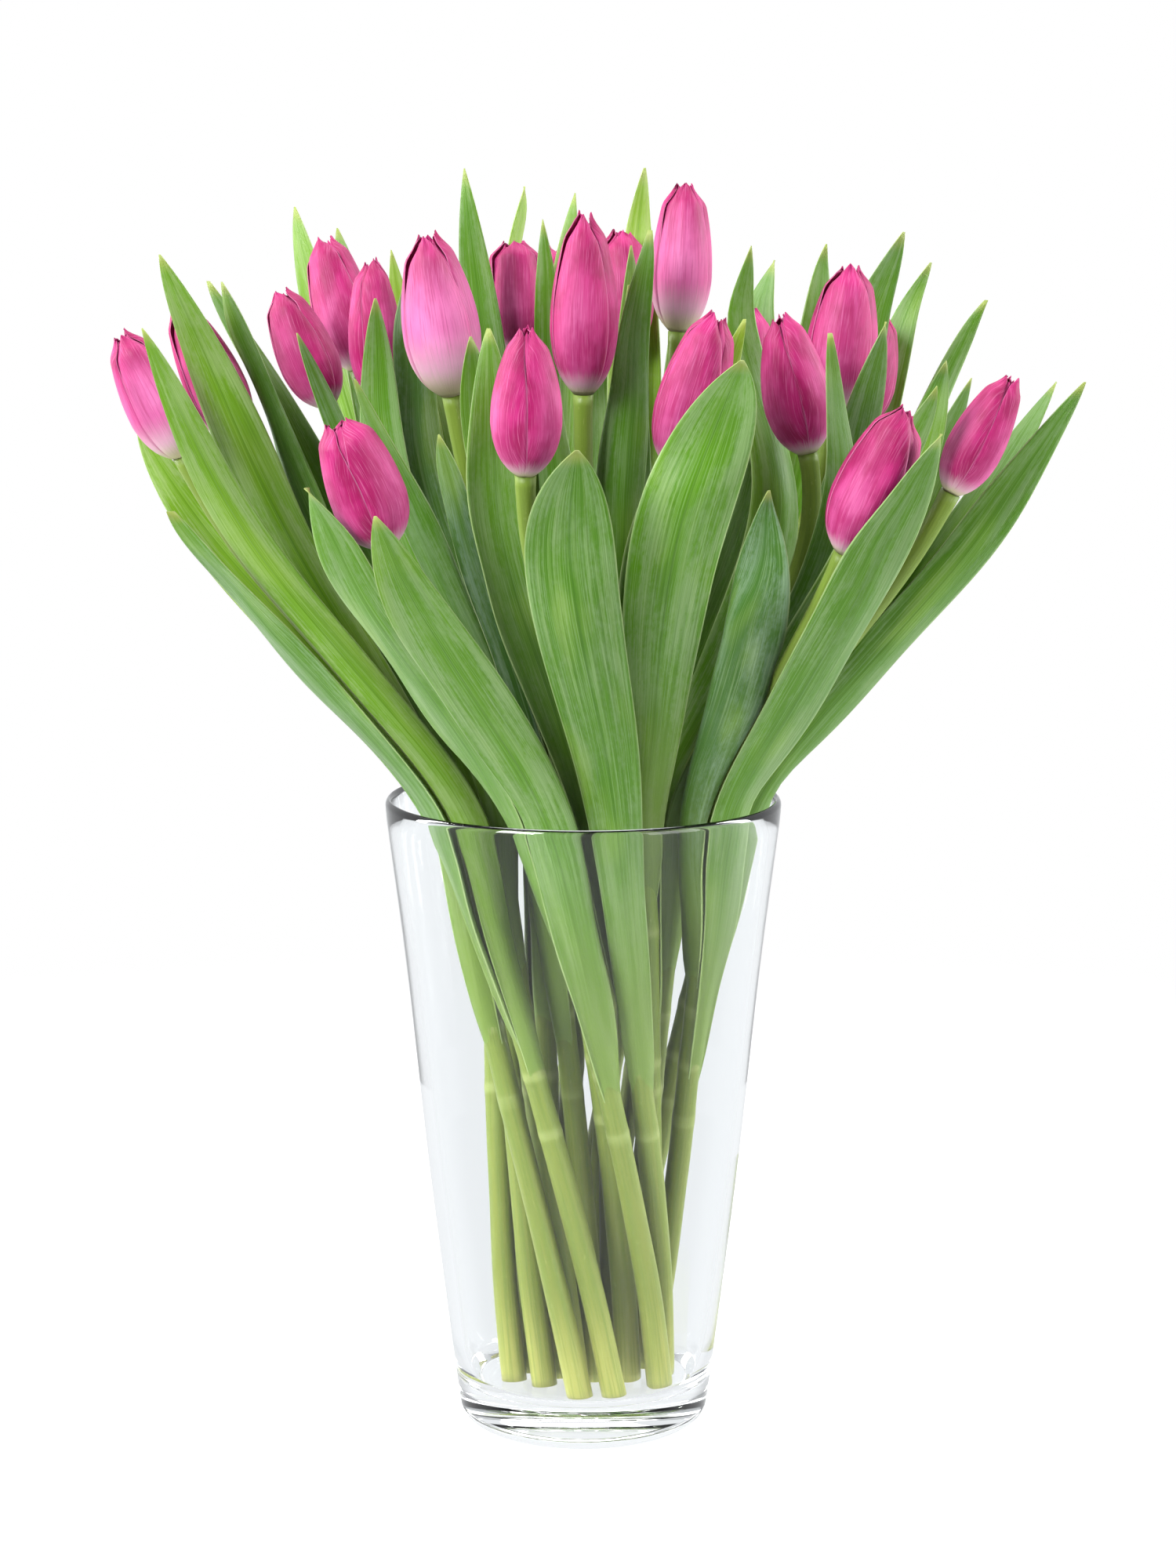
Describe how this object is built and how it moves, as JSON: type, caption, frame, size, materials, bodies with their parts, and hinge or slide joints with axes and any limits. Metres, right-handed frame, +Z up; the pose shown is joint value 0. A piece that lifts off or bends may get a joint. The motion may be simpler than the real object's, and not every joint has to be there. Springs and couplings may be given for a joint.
{
  "type": "tulips in a vase",
  "caption": "Loose bunch of closed pink tulips with long green leaves, standing in a tall tapered clear glass vase with a heavy base.",
  "frame": {"origin": "middle of the vase's flat underside, on the surface that it stands on", "axes": "+Z up along the vase's axis; the pictured side of the bunch faces -Y"},
  "size_m": [0.3604, 0.305, 0.49],
  "materials": {
    "glass": "clear",
    "petal": "satin",
    "leaf": "satin"
  },
  "bodies": {
    "root": {"vase": "glass", "stem_leaves_01": "leaf", "bloom_01": "petal", "stem_leaves_02": "leaf", "bloom_02": "petal", "stem_leaves_03": "leaf", "bloom_03": "petal", "stem_leaves_04": "leaf", "bloom_04": "petal", "stem_leaves_05": "leaf", "bloom_05": "petal", "stem_leaves_06": "leaf", "bloom_06": "petal", "stem_leaves_07": "leaf", "bloom_07": "petal", "stem_leaves_08": "leaf", "bloom_08": "petal", "stem_leaves_09": "leaf", "bloom_09": "petal", "stem_leaves_10": "leaf", "bloom_10": "petal", "stem_leaves_11": "leaf", "bloom_11": "petal", "stem_leaves_12": "leaf", "bloom_12": "petal", "stem_leaves_13": "leaf", "bloom_13": "petal", "stem_leaves_14": "leaf", "bloom_14": "petal", "stem_leaves_15": "leaf", "bloom_15": "petal", "stem_leaves_16": "leaf", "bloom_16": "petal", "stem_leaves_17": "leaf", "bloom_17": "petal", "stem_leaves_18": "leaf", "bloom_18": "petal", "stem_leaves_19": "leaf", "bloom_19": "petal", "stem_leaves_20": "leaf", "bloom_20": "petal", "stem_leaves_21": "leaf", "bloom_21": "petal"}
  },
  "joints": []
}
